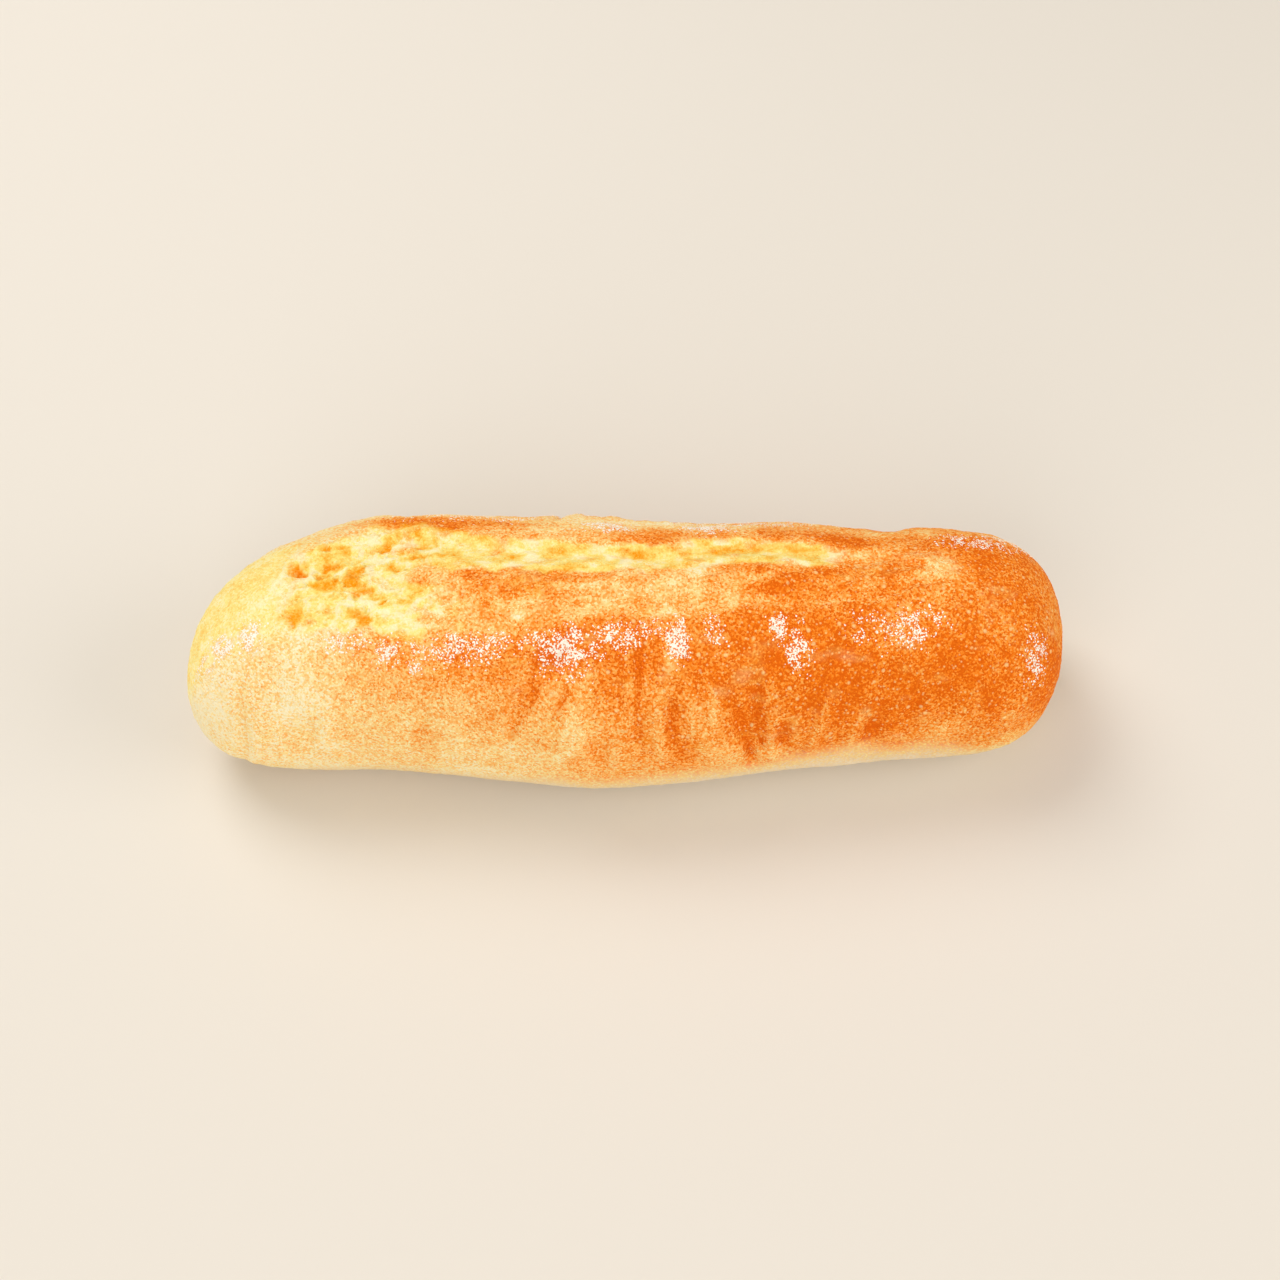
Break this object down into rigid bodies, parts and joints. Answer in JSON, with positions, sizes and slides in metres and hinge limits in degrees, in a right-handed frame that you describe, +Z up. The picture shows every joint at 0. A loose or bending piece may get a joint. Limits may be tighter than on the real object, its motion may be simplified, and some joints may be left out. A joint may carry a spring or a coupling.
{
  "type": "baguette",
  "caption": "Short crusty baguette, a loaf baked as one piece with a flat underside and one long burst score along its crown.",
  "frame": {"origin": "middle of the loaf's bounding box, on the plane of its flat underside", "axes": "+X along the loaf towards its blunt, darker end, +Y to its back, +Z up through the crown"},
  "size_m": [0.22, 0.0708, 0.0537],
  "materials": {
    "crust": "matte"
  },
  "bodies": {
    "root": {"loaf": "crust"}
  },
  "joints": []
}
